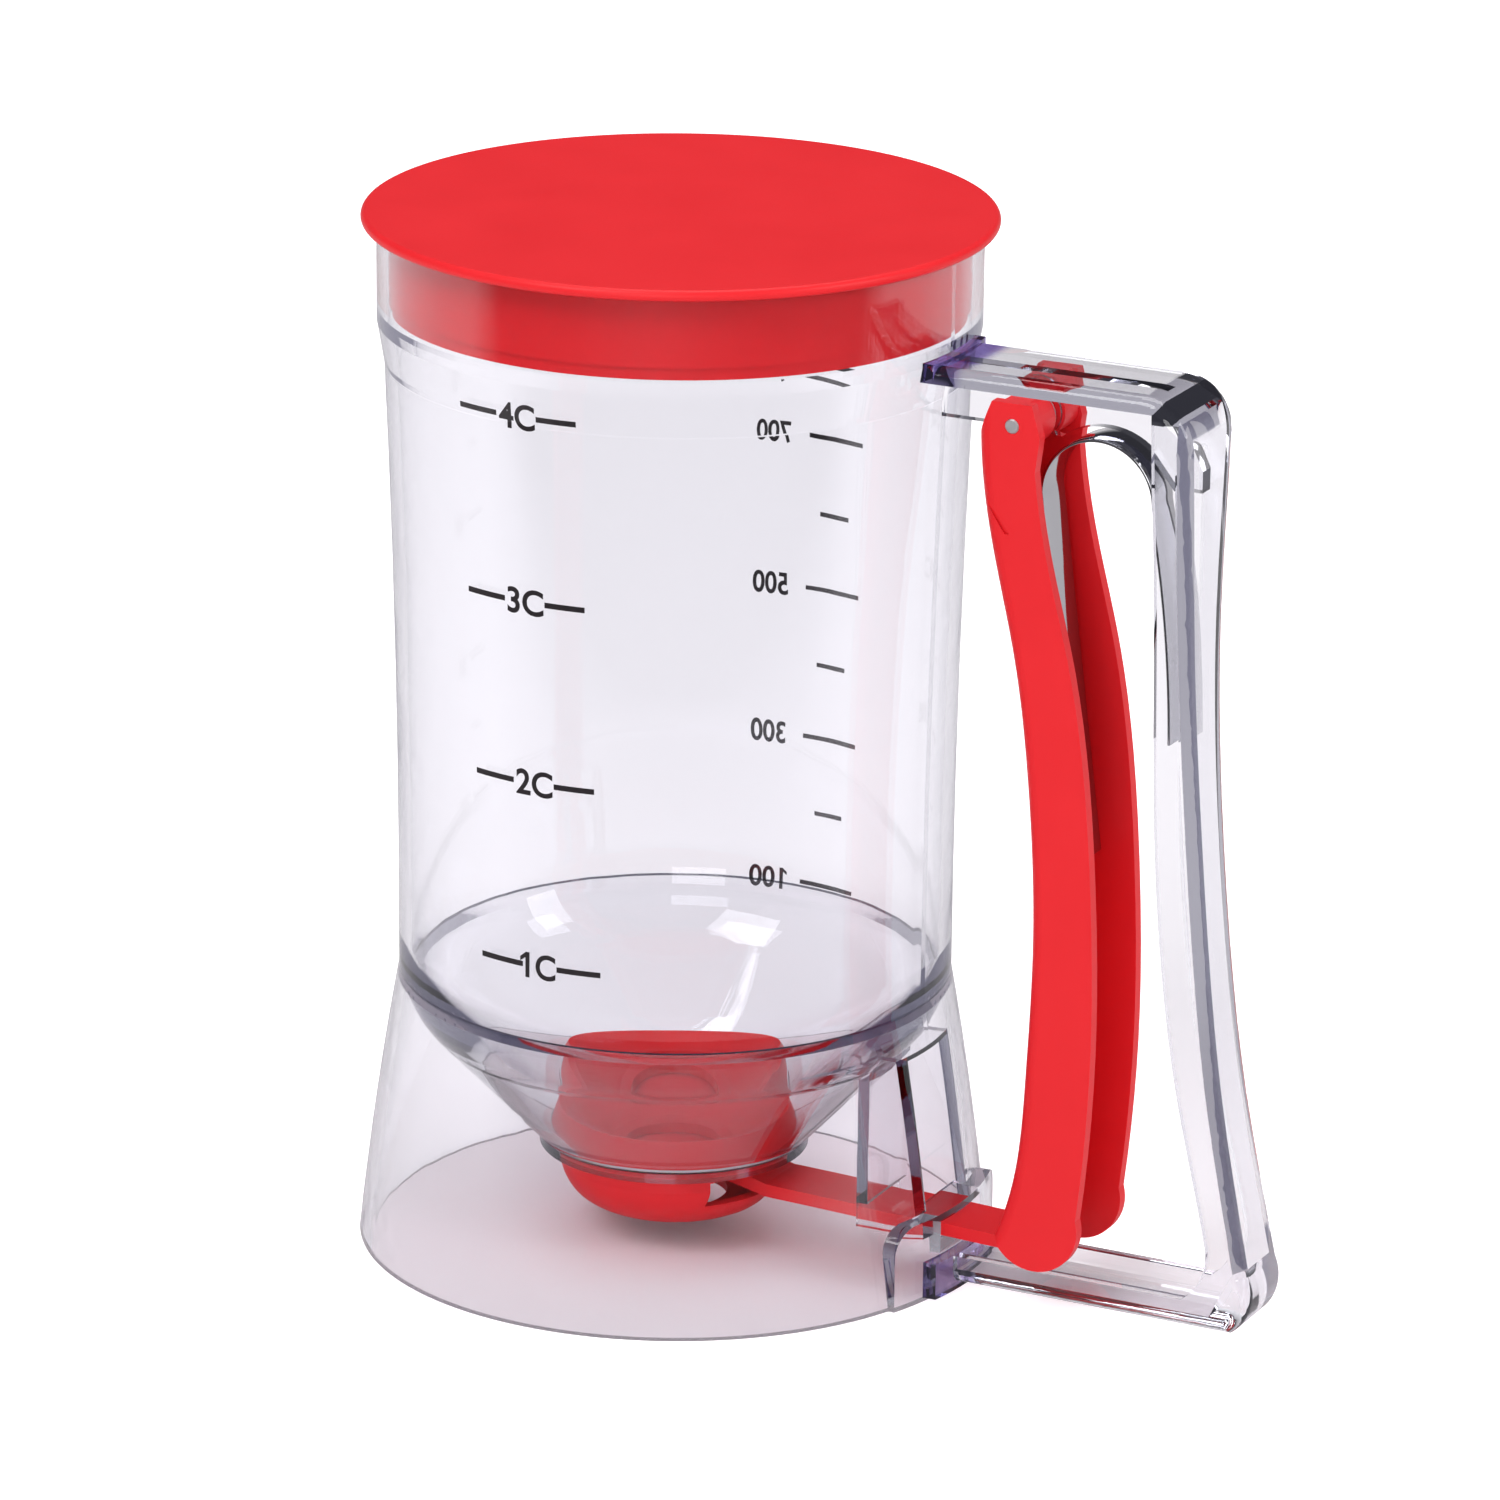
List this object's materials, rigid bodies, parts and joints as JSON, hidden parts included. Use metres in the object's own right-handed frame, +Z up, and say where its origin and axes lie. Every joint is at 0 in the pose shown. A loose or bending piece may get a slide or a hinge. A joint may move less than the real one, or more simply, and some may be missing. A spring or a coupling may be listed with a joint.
{
  "type": "pancake batter dispenser",
  "caption": "Clear batter container on a clear skirt, with a red lift-off lid and a squeeze trigger in the handle that slides a valve open under the bowl.",
  "frame": {"origin": "under the middle of the whole part's bounding box, on the surface that the skirt stands on; the container's axis is at X -0.02935 m", "axes": "+Z up, the way the container's axis runs, +X towards the handle, +Y to the left of someone looking along +X"},
  "size_m": [0.1704, 0.1118, 0.1866],
  "materials": {
    "clear_plastic": "clear moulded polystyrene, polished",
    "red_plastic": "moulded, satin gloss",
    "silicone": "moulded silicone, matte",
    "pin_steel": "drawn stainless steel",
    "spring_steel": "bright rolled stainless strip"
  },
  "bodies": {
    "body": {"container": "clear_plastic", "base_skirt": "clear_plastic", "handle": "clear_plastic", "pivot_pin": "pin_steel", "leaf_spring": "spring_steel", "valve_seat": "red_plastic", "seat_seal": "silicone", "outlet_cup": "red_plastic"},
    "lid": {"lid": "red_plastic"},
    "trigger": {"trigger": "red_plastic"},
    "slide": {"valve_slide": "red_plastic"}
  },
  "joints": [
    {"name": "lid_lift", "type": "slide", "parent": "body", "child": "lid", "axis": [0, 0, 1], "range_m": [0, 0.03]},
    {"name": "trigger_squeeze", "type": "hinge", "parent": "body", "child": "trigger", "pos_m": [0.03865, 0, 0.1596], "axis": [0, -1, 0], "range_deg": [0, 6], "stiffness_Nm_per_rad": 4, "springref_deg": -5.73, "deforming": ["leaf_spring"]},
    {"name": "valve_slide", "type": "slide", "parent": "body", "child": "slide", "axis": [1, 0, 0], "range_m": [0, 0.016]}
  ],
  "couplings": [
    {"joint": "valve_slide", "follows": "trigger_squeeze", "m_per_rad": 0.1487}
  ]
}
